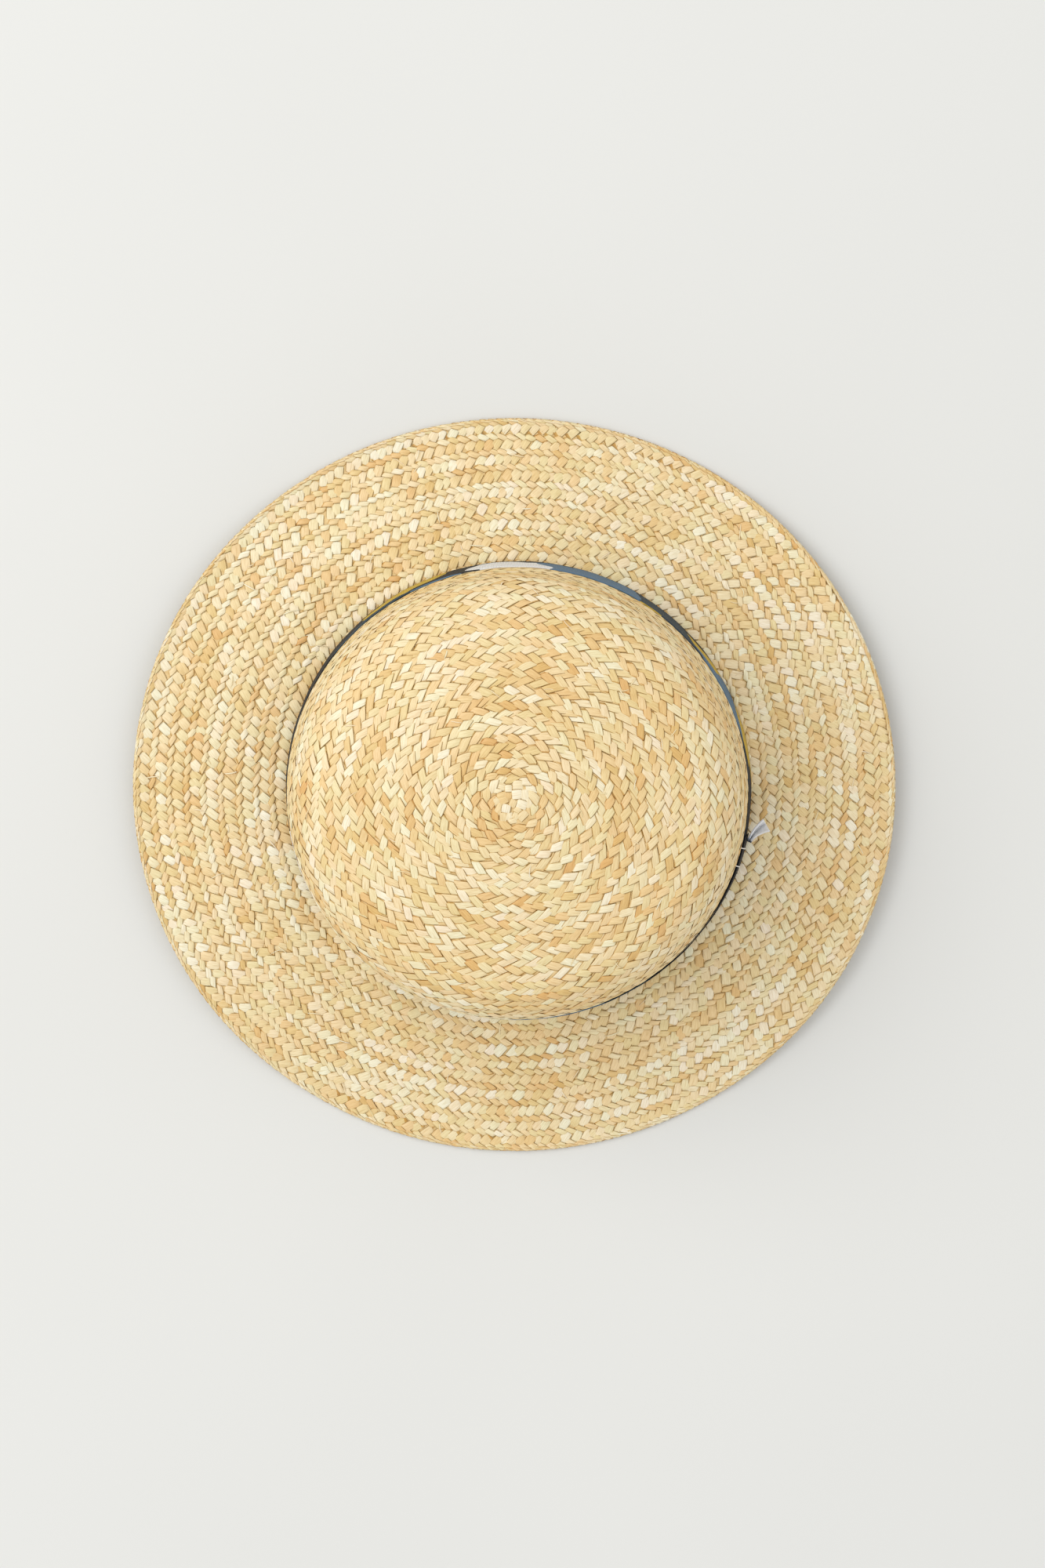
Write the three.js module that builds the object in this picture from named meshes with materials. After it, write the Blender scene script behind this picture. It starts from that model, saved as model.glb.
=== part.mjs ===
import * as THREE from 'three';

// A straw hat sewn from plait. The hollow crown stands on a brim that lies on the surface along its two
// sides and lifts a little at the front and the back. A cloth ribbon runs round the foot of the crown,
// laps over its own start and ends in a short tail, folded lengthwise into a trough.
// Millimetres, +Z up. The origin is on the surface under the middle of the brim, and +X points to the
// back of the hat, where the ribbon ends. Angles are in degrees, counter-clockwise from +X.

const STRAW = 2; // wall of lapped plait
const CLOTH = 1; // ribbon
const GAP = 0.3; // clearance between neighbouring pieces
const AROUND = 72; // facets round the hat

const BRIM = {
  halfLength: 154.5, // along X
  halfWidth: 149.5, // along Y
  joint: 17.5, // height of the top face where the crown stands on it
  endLift: 8, // rise of the rim at the front and the back
  levelReach: 0.45, // the rim lies level while |cos(angle)| stays under this
};

// Rings across the brim, from its hole to its rim: share of the width, and share of the fall to the rim.
// The first stretch is the level lap under the crown, and the last is the outermost row, which lies flat.
const BRIM_RINGS = [
  { across: 0.0, fall: 0.0 },
  { across: 0.06, fall: 0.0 },
  { across: 0.2, fall: 0.2 },
  { across: 0.4, fall: 0.47 },
  { across: 0.6, fall: 0.71 },
  { across: 0.78, fall: 0.89 },
  { across: 0.9, fall: 1.0 },
  { across: 1.0, fall: 1.0 },
];

const CROWN = {
  halfLength: 93, // along X, at the foot
  halfWidth: 91, // along Y, at the foot
  backSet: 2.2, // its centre lies this far behind the brim's
  wallHeight: 58,
  wallLean: 5, // the wall leans in by this angle
  shoulderRadius: 24,
  topSlope: 16, // slope of the shallow top where it meets the shoulder
};
const SHOULDER_STEPS = 6;
const TOP_STEPS = 5;

const BAND = {
  height: 24,
  lift: 0.6, // lower edge above the brim's top face
  start: -95,
  lap: 84, // the ribbon runs on over its own start by this angle
  climb: 15, // it steps outwards over this angle to do so
  ahead: 1, // and is clear by this angle ahead of its start
  step: 5,
};

const TAIL_ANGLE = -12.4; // where the tail leaves the band
// Sections of the tail from its root to its end: distance along the band and out from it, half the spread
// of the two wings at the top, and the heights of the fold and of the wings' upper edges over the joint.
const TAIL_SECTIONS = [
  { along: 0.0, out: 0.0, spread: 1.2, fold: 6.0, edge: 18.0 },
  { along: 4.0, out: 1.2, spread: 1.7, fold: 6.5, edge: 18.3 },
  { along: 7.5, out: 3.2, spread: 2.9, fold: 7.0, edge: 18.5 },
  { along: 10.2, out: 5.4, spread: 4.0, fold: 8.0, edge: 18.8 },
];

const FOOT_RADIUS = (CROWN.halfLength + CROWN.halfWidth) / 2;
const FOOT_HEIGHT = BRIM.joint + GAP;
const STRETCH_X = CROWN.halfLength / FOOT_RADIUS;
const STRETCH_Y = CROWN.halfWidth / FOOT_RADIUS;
const LEAN = THREE.MathUtils.degToRad(CROWN.wallLean);

// A point at a radius from the crown's axis, on its slightly oval plan.
function aroundCrown(angle, radius, height) {
  const turn = THREE.MathUtils.degToRad(angle);
  const x = CROWN.backSet + radius * STRETCH_X * Math.cos(turn);
  return new THREE.Vector3(x, radius * STRETCH_Y * Math.sin(turn), height);
}

// A closed solid through sections that are loops of the same number of points. Each loop runs
// anticlockwise seen from behind: out along one face of a wall and back along the other. The ends are
// closed by flat caps, unless the last section joins the first.
function loft(sections, joined) {
  const size = sections[0].length;
  const faces = [];
  const spans = joined ? sections.length : sections.length - 1;
  for (let i = 0; i < spans; i += 1) {
    const here = i * size;
    const next = ((i + 1) % sections.length) * size;
    for (let k = 0; k < size; k += 1) {
      const after = (k + 1) % size;
      faces.push(here + k, next + k, next + after);
      faces.push(here + k, next + after, here + after);
    }
  }
  if (!joined) {
    const last = (sections.length - 1) * size;
    for (let k = 0; k < size / 2 - 1; k += 1) {
      const back = size - 1 - k;
      faces.push(k, k + 1, back - 1, k, back - 1, back);
      faces.push(last + k, last + back - 1, last + k + 1, last + k, last + back, last + back - 1);
    }
  }
  const geometry = new THREE.BufferGeometry().setFromPoints(sections.flat());
  geometry.setIndex(faces);
  geometry.computeVertexNormals();
  return geometry;
}

// Points on an arc about a centre in the crown's half-section, without the first one.
function arcPoints(centre, radius, from, to, steps) {
  return Array.from({ length: steps }, (_, i) => {
    const turn = from + ((to - from) * (i + 1)) / steps;
    return new THREE.Vector2(radius * Math.cos(turn), radius * Math.sin(turn)).add(centre);
  });
}

// One face of the crown's half-section, from the foot to the tip, lying inside the outer face by inset:
// a leaning wall, a round shoulder tangent to it, and a shallow top tangent to the shoulder.
function crownFace(inset) {
  const topStart = THREE.MathUtils.degToRad(90 - CROWN.topSlope);
  const shoulder = new THREE.Vector2(
    FOOT_RADIUS - CROWN.wallHeight * Math.tan(LEAN) - CROWN.shoulderRadius * Math.cos(LEAN),
    FOOT_HEIGHT + CROWN.wallHeight - CROWN.shoulderRadius * Math.sin(LEAN),
  );
  const centresApart = shoulder.x / Math.cos(topStart);
  const topRadius = centresApart + CROWN.shoulderRadius;
  const topCentre = new THREE.Vector2(0, shoulder.y - centresApart * Math.sin(topStart));
  const bend = CROWN.shoulderRadius - inset;
  const foot = new THREE.Vector2(FOOT_RADIUS - inset / Math.cos(LEAN), FOOT_HEIGHT);
  const wallTop = new THREE.Vector2(bend * Math.cos(LEAN), bend * Math.sin(LEAN)).add(shoulder);
  const face = [
    foot,
    wallTop,
    ...arcPoints(shoulder, bend, LEAN, topStart, SHOULDER_STEPS),
    ...arcPoints(topCentre, topRadius - inset, topStart, Math.PI / 2, TOP_STEPS),
  ];
  face.at(-1).x = 0;
  return face;
}

function crownGeometry() {
  const profile = [...crownFace(STRAW).reverse(), ...crownFace(0)];
  return new THREE.LatheGeometry(profile, AROUND).rotateX(Math.PI / 2);
}

// Height of the rim's underside: level along the sides, rising smoothly to the front and the back.
function rimHeight(angle) {
  const reach = Math.abs(Math.cos(THREE.MathUtils.degToRad(angle)));
  return BRIM.endLift * THREE.MathUtils.smoothstep(reach, BRIM.levelReach, 1);
}

function brimSection(angle) {
  const turn = THREE.MathUtils.degToRad(angle);
  const hole = aroundCrown(angle, FOOT_RADIUS - STRAW / Math.cos(LEAN), BRIM.joint - STRAW);
  const rim = new THREE.Vector3(
    BRIM.halfLength * Math.cos(turn),
    BRIM.halfWidth * Math.sin(turn),
    rimHeight(angle),
  );
  const under = BRIM_RINGS.map(({ across, fall }) => {
    const point = hole.clone().lerp(rim, across);
    return point.setZ(THREE.MathUtils.lerp(hole.z, rim.z, fall));
  });
  const top = under.map((point) => point.clone().setZ(point.z + STRAW));
  return [...under, ...top.reverse()];
}

function brimGeometry() {
  const sections = Array.from({ length: AROUND }, (_, i) => brimSection((i * 360) / AROUND));
  return loft(sections, true);
}

// Radius of the crown's wall at a height over the joint, with a layer standing off it.
function wallRadius(height, standOff) {
  return FOOT_RADIUS - (height - GAP) * Math.tan(LEAN) + standOff / Math.cos(LEAN);
}

// The ribbon's stand-off: one gap on the straw, and one layer and one gap more where it covers its start.
function bandStandOff(angle) {
  const clear = BAND.start + 360 - BAND.ahead;
  return GAP + (CLOTH + GAP) * THREE.MathUtils.smoothstep(angle, clear - BAND.climb, clear);
}

function bandSection(angle) {
  const low = BAND.lift;
  const high = BAND.lift + BAND.height;
  const inside = bandStandOff(angle);
  const outside = inside + CLOTH;
  const corner = (height, standOff) =>
    aroundCrown(angle, wallRadius(height, standOff), BRIM.joint + height);
  return [corner(low, inside), corner(low, outside), corner(high, outside), corner(high, inside)];
}

function bandGeometry() {
  const count = Math.floor((360 + BAND.lap) / BAND.step);
  const angles = Array.from({ length: count + 1 }, (_, i) => BAND.start + i * BAND.step);
  angles.push(BAND.start + 360 + BAND.lap);
  return loft(angles.map(bandSection), false);
}

// A cross-section of the tail: a trough with its fold below and its two wings spreading upwards.
function tailSection({ spread, fold, edge }, centre, heading) {
  const across = new THREE.Vector3(heading.y, -heading.x, 0);
  const inner = spread - CLOTH;
  const innerFold = edge - ((edge - fold) * inner) / spread;
  const corner = (side, height) =>
    centre.clone().addScaledVector(across, side).setZ(BRIM.joint + height);
  return [
    corner(-spread, edge),
    corner(0, fold),
    corner(spread, edge),
    corner(inner, edge),
    corner(0, innerFold),
    corner(-inner, edge),
  ];
}

function tailGeometry() {
  const { spread, edge } = TAIL_SECTIONS[0];
  const bandFace = bandStandOff(TAIL_ANGLE + 360) + CLOTH;
  const root = aroundCrown(TAIL_ANGLE, wallRadius(edge, bandFace + GAP + spread), 0);
  const turn = THREE.MathUtils.degToRad(TAIL_ANGLE);
  const outwards = new THREE.Vector3(Math.cos(turn), Math.sin(turn), 0);
  const onwards = new THREE.Vector3(-Math.sin(turn), Math.cos(turn), 0);
  const centres = TAIL_SECTIONS.map(({ along, out }) =>
    root.clone().addScaledVector(onwards, along).addScaledVector(outwards, out),
  );
  const path = new THREE.CatmullRomCurve3(centres);
  const sections = TAIL_SECTIONS.map((row, i) => {
    const heading = path.getTangent(i / (TAIL_SECTIONS.length - 1));
    return tailSection(row, centres[i], heading);
  });
  return loft(sections, false);
}

const plait = { roughness: 0.62, metalness: 0 };
const ribbon = { roughness: 0.55, metalness: 0 };
const FINISHES = {
  crown: new THREE.MeshStandardMaterial({ color: 0xe6cf9c, ...plait }),
  brim: new THREE.MeshStandardMaterial({ color: 0xdfc792, ...plait }),
  hat_band: new THREE.MeshStandardMaterial({ color: 0x2a3138, ...ribbon }),
  band_tail: new THREE.MeshStandardMaterial({ color: 0xcfcfd2, ...ribbon }),
};

const hat = new THREE.Group();
function addPiece(name, geometry) {
  const piece = new THREE.Mesh(geometry, FINISHES[name]);
  piece.name = name;
  hat.add(piece);
  return piece;
}

const crown = addPiece('crown', crownGeometry());
crown.scale.set(STRETCH_X, STRETCH_Y, 1);
crown.position.x = CROWN.backSet;
addPiece('brim', brimGeometry());
addPiece('hat_band', bandGeometry());
addPiece('band_tail', tailGeometry());

export default hat;
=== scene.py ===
# %% [markdown]
# # A straw hat sewn from plait
#
# Hats like this start as a long flat braid of split wheat straw. The braid is coiled from the tip of the
# crown outwards, each turn lapped over the next and sewn to it, until the coil has grown into the crown.
# The brim is coiled in the same way. In this lesson the straws are real little solids, laid along those
# coils by numpy, because the low light between them is what makes straw look like straw. A bump map on a
# smooth hat would be lighter, but its edges and its silhouette would stay smooth.

import bpy
import numpy as np
from mathutils import Matrix, Vector


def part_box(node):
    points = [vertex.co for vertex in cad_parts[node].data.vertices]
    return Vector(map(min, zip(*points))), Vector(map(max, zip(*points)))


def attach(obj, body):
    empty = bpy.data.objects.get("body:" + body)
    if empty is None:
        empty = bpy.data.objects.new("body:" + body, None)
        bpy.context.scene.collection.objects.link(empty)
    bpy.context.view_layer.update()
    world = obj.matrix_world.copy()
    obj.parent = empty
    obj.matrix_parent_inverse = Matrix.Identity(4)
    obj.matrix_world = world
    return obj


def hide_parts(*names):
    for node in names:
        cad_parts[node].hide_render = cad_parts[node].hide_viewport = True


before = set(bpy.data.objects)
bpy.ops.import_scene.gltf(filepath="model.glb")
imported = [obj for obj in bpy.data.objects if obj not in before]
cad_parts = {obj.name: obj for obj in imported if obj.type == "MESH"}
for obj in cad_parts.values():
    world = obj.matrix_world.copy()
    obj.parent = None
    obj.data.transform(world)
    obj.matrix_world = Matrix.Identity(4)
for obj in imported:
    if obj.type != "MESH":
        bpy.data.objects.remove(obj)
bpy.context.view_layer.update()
MM = 0.001  # shapes are worked out in millimetres and become metres in their meshes
rng = np.random.default_rng(11)


def node_box(name):
    """Lowest and highest corner of a CAD node, in millimetres."""
    return [np.array(corner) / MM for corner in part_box(name)]


# %% [markdown]
# ## The crown as a surface
#
# The crown is a slightly oval tub turned upside down: a wall that leans in a little, a round shoulder and a
# shallow domed top. Straws are laid on it by two numbers, the angle round the hat and the distance down
# from the tip, so the crown is written as a function of those two. The third number lifts a point off the
# surface along its normal. The overall sizes come from the CAD node, and only the three numbers that give
# the profile its character are repeated here.

# %% Crown: profile and surface
LEAN = np.radians(5)  # the wall's lean
SLOPE = np.radians(16)  # slope of the top where it meets the shoulder
SHOULDER = 24.0  # radius of the shoulder
WALL = 58.0  # height of the wall, up to where its line meets the shoulder
STRAW_WALL = 2.0  # thickness of the lapped plait
LEAST_REACH = 4.0  # least arc for a radian, so that straws don't fan out at the tip

crown_low, crown_high = node_box("crown")
crown_middle = (crown_low + crown_high)[:2] / 2
half_length, half_width = (crown_high - crown_low)[:2] / 2
foot_radius = (half_length + half_width) / 2
oval = np.array([half_length, half_width]) / foot_radius

shoulder_r = foot_radius - WALL * np.tan(LEAN) - SHOULDER * np.cos(LEAN)
shoulder_z = crown_low[2] + WALL - SHOULDER * np.sin(LEAN)
top_radius = shoulder_r / np.sin(SLOPE) + SHOULDER
top_z = shoulder_z + SHOULDER * np.cos(SLOPE) - top_radius * np.cos(SLOPE)
top_arc = top_radius * SLOPE
shoulder_arc = SHOULDER * (np.pi / 2 - LEAN - SLOPE)
profile_length = top_arc + shoulder_arc + WALL / np.cos(LEAN)


def crown_profile(down):
    """Radius, height and slope of the crown at a distance down from the tip: along the top's arc, then along
    the shoulder's arc, then straight down the leaning wall. The slope is the angle of the surface."""
    on_top = down < top_arc
    slope = np.where(on_top, down / top_radius, SLOPE + (down - top_arc) / SHOULDER)
    slope = np.minimum(slope, np.pi / 2 - LEAN)
    bend = np.where(on_top, top_radius, SHOULDER)
    on_wall = np.maximum(down - top_arc - shoulder_arc, 0)
    radius = np.where(on_top, 0, shoulder_r) + bend * np.sin(slope) + on_wall * np.sin(LEAN)
    height = np.where(on_top, top_z, shoulder_z) + bend * np.cos(slope) - on_wall * np.cos(LEAN)
    return radius, height, slope


def crown_outside(angle, down, out):
    """Point at an angle round the crown, a distance down from the tip, and out along the normal."""
    radius, height, slope = crown_profile(down)
    radius = radius + out * np.sin(slope)
    x = crown_middle[0] + oval[0] * radius * np.cos(angle)
    y = crown_middle[1] + oval[1] * radius * np.sin(angle)
    return np.stack(np.broadcast_arrays(x, y, height + out * np.cos(slope)), axis=-1)


def crown_inside(angle, down, out):
    """The same on the inner face, with out pointing into the hollow."""
    return crown_outside(angle, down, -STRAW_WALL - out)


def crown_reach(angle, down):
    """Millimetres of arc for each radian round the crown: its radius there, or the least reach."""
    return np.maximum(crown_profile(down)[0], LEAST_REACH) + 0 * angle


print("crown profile:", round(float(profile_length), 1), "mm from tip to foot")

# %% [markdown]
# ## The brim as a surface
#
# The brim runs from the oval hole under the crown to an oval rim. It lies on the table along its two sides
# and lifts a little at the front and the back, so its height is a blend between the level joint at the hole
# and a rim that rises and falls with the angle. As on the crown, the function takes the angle, the distance
# out from the hole, and the lift off the surface. The underside is the same surface, one thickness lower.

# %% Brim: surface
END_LIFT = 8.0  # rise of the rim at the front and the back
LEVEL_REACH = 0.45  # the rim lies level while |cos(angle)| stays under this
ACROSS = [0.0, 0.06, 0.2, 0.4, 0.6, 0.78, 0.9, 1.0]  # share of the width from hole to rim
FALL = [0.0, 0.0, 0.2, 0.47, 0.71, 0.89, 1.0, 1.0]  # share of the fall from joint to rim there
UNDER_STRAWS = 0.8  # height of the straws under the brim, which lie on the table

brim_high = node_box("brim")[1]
rim_half = brim_high[:2]
hole_half = (foot_radius - STRAW_WALL / np.cos(LEAN)) * oval
joint_z = brim_high[2] - STRAW_WALL


def smoothstep(x, low, high):
    """0 below low, 1 above high, and a smooth S between them."""
    t = np.clip((x - low) / (high - low), 0, 1)
    return t * t * (3 - 2 * t)


def rim_height(angle):
    """Height of the rim's underside: level along the sides, lifted at the front and the back."""
    return END_LIFT * smoothstep(np.abs(np.cos(angle)), LEVEL_REACH, 1.0)


def brim_edges(angle):
    """Plan points of the hole and of the rim at an angle."""
    circle = np.stack([np.cos(angle), np.sin(angle)], axis=-1)
    return crown_middle + hole_half * circle, rim_half * circle


def brim_width(angle):
    """Distance in plan from the hole to the rim."""
    hole, rim = brim_edges(angle)
    return np.linalg.norm(rim - hole, axis=-1)


def brim_under(angle, down, out):
    """Point of the underside at an angle, a distance out from the hole, with out pointing down. The lowest
    part of the underside is lifted by the height of its straws, so that these lie on the table."""
    angle, down, out = np.broadcast_arrays(angle, down, out)
    share = np.clip(down / brim_width(angle), 0, 1)
    hole, rim = brim_edges(angle)
    plan = hole + (rim - hole) * share[..., None]
    height = joint_z + (rim_height(angle) - joint_z) * np.interp(share, ACROSS, FALL)
    height = np.where(out > -STRAW_WALL / 2, np.maximum(height, UNDER_STRAWS), height)
    return np.concatenate([plan, (height - out)[..., None]], axis=-1)


def brim_top(angle, down, out):
    """Point of the upper face, with out pointing up."""
    return brim_under(angle, down, -STRAW_WALL - out)


def brim_reach(angle, down):
    """Millimetres of arc for each radian round the brim."""
    share = np.clip(down / brim_width(angle), 0, 1)
    x = hole_half[0] + (rim_half[0] - hole_half[0]) * share
    y = hole_half[1] + (rim_half[1] - hole_half[1]) * share
    return np.hypot(x * np.sin(angle), y * np.cos(angle))


print("brim width:", np.round(brim_width(np.radians([0, 90, 180, 270])), 1), "mm")

# %% [markdown]
# ## From arrays to pieces
#
# Every piece ends as arrays of points and quads, put into a mesh with foreach_set. Two extra things travel
# with the points: attributes, which are numbers that the finish reads, and UV maps, which are coordinates
# for each corner of each face. A map called OFBake gives every straw its own small rectangle, so that the
# finish can be baked to a picture without two straws sharing the same place.


# %% Helper: a mesh from arrays
def add_piece(name, points, quads, material, caps=(), smooth=None, numbers=None, maps=None):
    """A piece that rides on the hat's one body. Points are in millimetres. Caps are polygons of any size."""
    points = np.asarray(points, float).reshape(-1, 3)
    corners = np.concatenate([np.ravel(quads), *map(np.asarray, caps)]).astype(np.int32)
    sizes = np.array([4] * len(quads) + [len(cap) for cap in caps])
    mesh = bpy.data.meshes.new(name)
    mesh.vertices.add(len(points))
    mesh.vertices.foreach_set("co", (points * MM).ravel())
    mesh.loops.add(len(corners))
    mesh.loops.foreach_set("vertex_index", corners)
    mesh.polygons.add(len(sizes))
    mesh.polygons.foreach_set("loop_start", np.concatenate([[0], np.cumsum(sizes)[:-1]]).astype(np.int32))
    mesh.update(calc_edges=True)
    smooth = np.ones(len(sizes), bool) if smooth is None else smooth
    mesh.polygons.foreach_set("use_smooth", smooth)
    for key, values in (numbers or {}).items():
        mesh.attributes.new(key, "FLOAT", "POINT").data.foreach_set("value", np.ravel(values))
    for key, values in (maps or {}).items():
        mesh.uv_layers.new(name=key).uv.foreach_set("vector", np.ravel(values))
    mesh.validate()
    piece = bpy.data.objects.new(name, mesh)
    bpy.context.scene.collection.objects.link(piece)
    mesh.materials.append(material)
    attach(piece, "root")
    print(f"{name}: {sum(sizes - 2)} triangles")
    return piece


def ring_quads(rings, size, closed):
    """Quads between neighbouring rings of size points. The last ring joins the first if closed."""
    ring = np.arange(rings if closed else rings - 1)[:, None]
    k = np.arange(size)[None, :]
    here, after = ring * size, (ring + 1) % rings * size
    return np.stack([here + k, here + (k + 1) % size, after + (k + 1) % size, after + k], -1).reshape(-1, 4)


# %% [markdown]
# ## One straw
#
# Where a straw passes over its neighbours it shows as a short flat blade that dives under the next ones at
# both ends. That visible stretch is one closed solid here: a grid along and across the blade for its upper
# face, a strip that closes it below, and two ends. The blade's height falls away towards its ends and its
# edges, and one edge lies higher than the other, so each straw overlaps the next like a roof tile. All the
# straws of a piece are computed at once, as one array with a row for each straw.

# %% Helper: laying straws on a surface
ACROSS_BLADE = np.array([-1, -0.74, 0.74, 1])  # its two edges, and the borders of its flat middle


def blade_faces(along, inwards):
    """Quads of one blade: its upper face, the strip below it and its two ends. On a surface that is seen
    from below, or from inside, every quad is turned round."""
    i, j = np.meshgrid(np.arange(along - 1) * 4, np.arange(3), indexing="ij")
    upper = np.stack([i + j, i + j + 1, i + j + 5, i + j + 4], -1).reshape(-1, 4)
    i = np.arange(along - 1) * 4
    lower = np.stack([i, i + 4, i + 7, i + 3], -1)
    last = 4 * (along - 1)
    ends = np.array([[3, 2, 1, 0], [last, last + 1, last + 2, last + 3]])
    quads = np.concatenate([upper, lower, ends])
    return (quads[:, ::-1] if inwards else quads), len(upper)


def blade_cells(quads, along, count):
    """Corner coordinates in a square of cells, one for each straw. In its cell the upper face is a
    rectangle, with the strip below it in a band underneath and the two ends beside that band."""
    low, high, band = 0.05, 0.95, 0.17  # borders of a cell, and the top of the band underneath
    u = np.linspace(low, high, along)[quads // 4]
    v = np.array([0.25, 0.37, 0.83, high])[quads % 4]
    strip = slice(3 * (along - 1), 4 * (along - 1))
    u[strip] = low + (u[strip] - low) * 0.75
    v[strip] = np.where(quads[strip] % 4 == 0, low, band)
    for end, left in ((-2, 0.78), (-1, 0.88)):
        u[end], v[end] = left + np.array([0, 0.06, 0.06, 0]), np.array([low, low, band, band])
    side = int(np.ceil(np.sqrt(count)))
    cell = np.stack([np.arange(count) % side, np.arange(count) // side], -1)
    return (cell[:, None, None, :] + np.stack([u, v], -1)[None]) / side


def lay_straws(name, straws, place, reach, along=6, inwards=False):
    """One piece of many blades. Each straw has an angle and a distance down for its middle, a heading (the
    angle between the blade and the row), a length, a width, a skew and a point of its ends, a base height,
    a rise in its middle, a sink at its ends, a tilt across it, a bow to one side, a strength of dust and
    painted shade in its creases, a tone and a tint. A point at u along and v across the blade lies
    (u*length + v*width*skew)/2 along the heading and v*width/2*(1 - point*|u|^3) + bow*(1 - u^2) square to
    it.
    Its height is base + rise*(1 - |u|^curl) - sink*|u|^curl - edge*v^2 + tilt*v, and its crease is the larger
    of 0.9*u^8 and 0.62*v^6, times that strength. The crease darkens the colour: partly dust, partly painted
    shade where the blade dives under its neighbours and meets them."""
    count = len(straws["angle"])
    field = {key: np.broadcast_to(value, count)[:, None, None] for key, value in straws.items()}
    u = np.linspace(-1, 1, along)[None, :, None]
    v = ACROSS_BLADE[None, None, :]
    a = (u * field["length"] + v * field["width"] * field["skew"]) / 2
    b = v * field["width"] / 2 * (1 - field["point"] * np.abs(u) ** 3) + field["bow"] * (1 - u**2)
    cos, sin = np.cos(field["heading"]), np.sin(field["heading"])
    down = field["down"] + a * sin + b * cos
    angle = field["angle"] + (a * cos - b * sin) / reach(field["angle"], down)
    dive = np.abs(u) ** field["curl"]
    out = field["base"] + field["rise"] * (1 - dive) - field["sink"] * dive
    out = out - field["edge"] * v**2 + field["tilt"] * v
    points = place(angle, down, out)
    quads, uppers = blade_faces(along, inwards)
    all_quads = (quads[None] + (np.arange(count) * along * 4)[:, None, None]).reshape(-1, 4)
    smooth = np.tile(np.arange(len(quads)) < uppers, count)
    shape = (count, along, 4)
    # Every straw takes its fibres from another place of the finish.
    along_fibre = a + 37 * rng.random((count, 1, 1))
    across_fibre = b + 11 * rng.random((count, 1, 1))
    fibre = np.stack(np.broadcast_arrays(along_fibre, across_fibre), -1)
    numbers = {
        "tone": np.broadcast_to(field["tone"], shape),
        "tint": np.broadcast_to(field["tint"], shape),
        # dust and painted shade: darker towards a blade's ends, where it dives under its neighbours, and its
        # edges
        "crease": np.broadcast_to(field["crease_dust_and_shade"] * np.maximum(0.9 * u**8, 0.62 * v**6), shape),
    }
    maps = {
        "fibre": fibre.reshape(-1, 2)[all_quads],
        "OFBake": blade_cells(quads, along, count),
    }
    return add_piece(name, points, all_quads, straw_finish, smooth=smooth, numbers=numbers, maps=maps)


# %% [markdown]
# ## The straw's finish
#
# Split wheat straw is glossy and golden, but each straw has its own age: some are bleached almost white,
# some are amber. The tone attribute is one number for each straw, and a colour ramp turns it into a colour.
# A second number, the tint, makes it a little rosier or greener. Fine fibres run along each straw, so a noise
# texture is stretched along the fibre map and used twice, for faint streaks of colour and for a fine bump.
# The crease attribute grows towards the ends and edges of a blade, where the blades dive under each other
# and meet. There the colour is darkened, partly as dust and partly as painted shade in the creases. All four
# colours are multiplied. A finish is a function here, built from the few helpers that come first.


# %% Helper: materials by node
def new_finish(name, roughness):
    """A material, a function that adds a node with its inputs set or linked, and one that links an output to
    the shader."""
    finish = bpy.data.materials.new(name)
    finish.use_nodes = True
    nodes, links = finish.node_tree.nodes, finish.node_tree.links
    shader = nodes["Principled BSDF"]
    shader.inputs["Roughness"].default_value = roughness

    def add(kind, inputs=None, **settings):
        node = nodes.new(kind)
        for key, value in settings.items():
            setattr(node, key, value)
        for key, value in (inputs or {}).items():
            if isinstance(value, bpy.types.NodeSocket):
                links.new(value, node.inputs[key])
            else:
                node.inputs[key].default_value = value
        return node

    def link(output, key):
        links.new(output, shader.inputs[key])

    return finish, add, link


def linear(red, green, blue):
    """Linear colour from 8-bit sRGB numbers."""
    s = np.array([red, green, blue]) / 255
    return (*np.where(s <= 0.04045, s / 12.92, ((s + 0.055) / 1.055) ** 2.4).tolist(), 1.0)


def ramp(add, factor, stops, interpolation="LINEAR"):
    """The colour of a ramp through pairs of a position and an sRGB colour."""
    node = add("ShaderNodeValToRGB", {"Fac": factor})
    node.color_ramp.interpolation = interpolation
    while len(node.color_ramp.elements) < len(stops):
        node.color_ramp.elements.new(1.0)
    for element, (position, colour) in zip(node.color_ramp.elements, stops):
        element.position, element.color = position, linear(*colour)
    return node.outputs["Color"]


def multiply(add, first, second, share=1.0):
    """The first colour multiplied by a share of the second."""
    inputs = {"Factor": share, "A": first, "B": second}
    return add("ShaderNodeMix", inputs, data_type="RGBA", blend_type="MULTIPLY").outputs["Result"]


def bump(add, height, strength, depth):
    """The normal of a bump that is a depth in millimetres high."""
    inputs = {"Strength": strength, "Distance": depth * MM, "Height": height}
    return add("ShaderNodeBump", inputs).outputs["Normal"]


def mottled_finish(name, roughness, scale, detail, stops, grit=0.0):
    """Two close colours, mixed by a noise in Object coordinates. Grit is the depth of its bump, if any."""
    finish, add, link = new_finish(name, roughness)
    where = add("ShaderNodeTexCoord").outputs["Object"]
    mottle = add("ShaderNodeTexNoise", {"Vector": where, "Scale": scale, "Detail": detail}).outputs["Fac"]
    link(ramp(add, mottle, stops), "Base Color")
    if grit:
        link(bump(add, mottle, 0.4, grit), "Normal")
    print("finish:", name)
    return finish


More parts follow.
